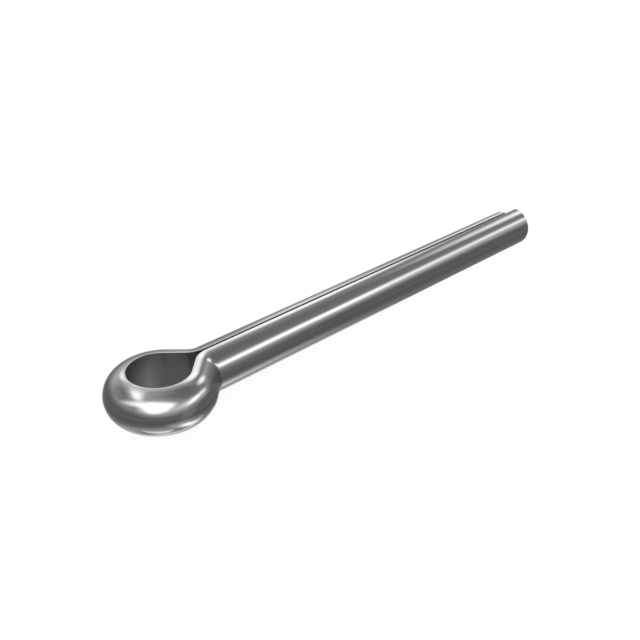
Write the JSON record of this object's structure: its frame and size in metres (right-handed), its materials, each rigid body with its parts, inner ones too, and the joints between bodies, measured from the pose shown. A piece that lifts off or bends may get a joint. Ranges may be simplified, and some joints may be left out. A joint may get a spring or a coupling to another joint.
{
  "type": "cotter pin",
  "caption": "Straight, unspread cotter pin of folded half-round steel wire, with an open round eye and one prong longer than the other.",
  "frame": {"origin": "on the axis of the shank, where the two prongs leave the necks of the eye", "axes": "+X along the shank from the eye towards the tips, +Z square to the plane of the eye, with the long prong on the -Y side"},
  "size_m": [0.0745, 0.0128, 0.0058],
  "materials": {
    "steel": "bright drawn and polished, smooth, neutral grey"
  },
  "bodies": {
    "root": {"cotter_pin": "steel"}
  },
  "joints": []
}
